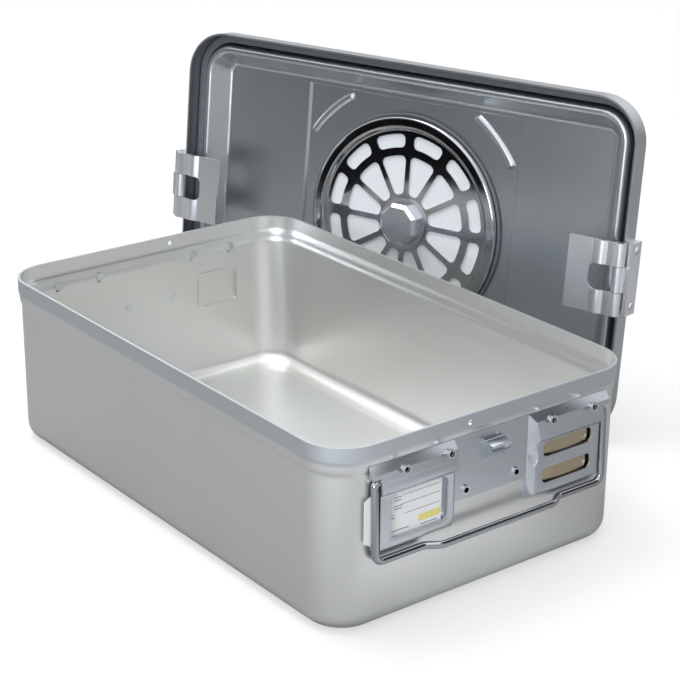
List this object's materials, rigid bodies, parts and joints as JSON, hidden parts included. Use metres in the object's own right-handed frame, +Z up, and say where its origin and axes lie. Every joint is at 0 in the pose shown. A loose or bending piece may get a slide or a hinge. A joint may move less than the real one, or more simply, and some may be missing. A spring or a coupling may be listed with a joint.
{
  "type": "sterilization container",
  "caption": "Shallow aluminium sterilization container for surgical instruments with wire bail handles, card and tag holders and a latched lid with a round filter plate, standing open.",
  "frame": {"origin": "centre of the tray base on the floor", "axes": "+X along the tray to its near end panel, +Y across the tray towards the lid that stands behind it, +Z up"},
  "size_m": [0.5803, 0.4214, 0.2891],
  "materials": {
    "tray_aluminium": "satin",
    "panel_aluminium": "brushed",
    "rivet_aluminium": "satin",
    "lid_aluminium": "satin",
    "bail_chrome": "polished",
    "polished_steel": "polished",
    "spring_steel": "brushed",
    "grey_silicone": "matte",
    "black_silicone": "matte",
    "filter_paper": "matte",
    "card": "matte"
  },
  "bodies": {
    "tray": {"tray_shell": "tray_aluminium", "near_end_plate": "panel_aluminium", "near_label_holder": "panel_aluminium", "near_label_card": "card", "near_tag_holder": "panel_aluminium", "near_tag_clips": "spring_steel", "near_catch": "panel_aluminium", "near_panel_rivets": "rivet_aluminium", "far_end_plate": "panel_aluminium", "far_label_holder": "panel_aluminium", "far_label_card": "card", "far_tag_holder": "panel_aluminium", "far_tag_clips": "spring_steel", "far_catch": "panel_aluminium", "far_panel_rivets": "rivet_aluminium"},
    "near_bail": {"near_bail": "bail_chrome"},
    "far_bail": {"far_bail": "bail_chrome"},
    "lid": {"lid_shell": "lid_aluminium", "lid_gasket": "grey_silicone", "filter_sheet": "filter_paper", "lid_post": "spring_steel", "right_latch_leaf": "panel_aluminium", "right_latch_pin": "spring_steel", "right_latch_rivets": "rivet_aluminium", "left_latch_leaf": "panel_aluminium", "left_latch_pin": "spring_steel", "left_latch_rivets": "rivet_aluminium"},
    "right_flap": {"right_latch_flap": "panel_aluminium"},
    "left_flap": {"left_latch_flap": "panel_aluminium"},
    "retainer": {"filter_retainer": "polished_steel", "retainer_seal": "black_silicone"},
    "knob": {"retainer_knob": "polished_steel"}
  },
  "joints": [
    {"name": "near_bail_hinge", "type": "hinge", "parent": "tray", "child": "near_bail", "pos_m": [0.2237, 0, 0.113], "axis": [0, -1, 0], "range_deg": [0, 90]},
    {"name": "far_bail_hinge", "type": "hinge", "parent": "tray", "child": "far_bail", "pos_m": [-0.2237, 0, 0.113], "axis": [0, 1, 0], "range_deg": [0, 90]},
    {"name": "lid_lift", "type": "slide", "parent": "tray", "child": "lid", "axis": [-0.0328, 0.1011, 0.9943], "range_m": [0, 0.25]},
    {"name": "right_latch_hinge", "type": "hinge", "parent": "lid", "child": "right_flap", "pos_m": [0.09978, 0.24481, 0.14613], "axis": [-0.0328, 0.1011, 0.9943], "range_deg": [0, 140]},
    {"name": "left_latch_hinge", "type": "hinge", "parent": "lid", "child": "left_flap", "pos_m": [-0.33009, 0.10514, 0.14613], "axis": [0.0328, -0.1011, -0.9943], "range_deg": [0, 140]},
    {"name": "retainer_pull", "type": "slide", "parent": "lid", "child": "retainer", "axis": [0.3073, -0.9457, 0.1063], "range_m": [0, 0.03]},
    {"name": "knob_turn", "type": "hinge", "parent": "retainer", "child": "knob", "pos_m": [-0.11725, 0.1814, 0.14541], "axis": [0.3073, -0.9457, 0.1063], "range_deg": [0, 90]}
  ]
}
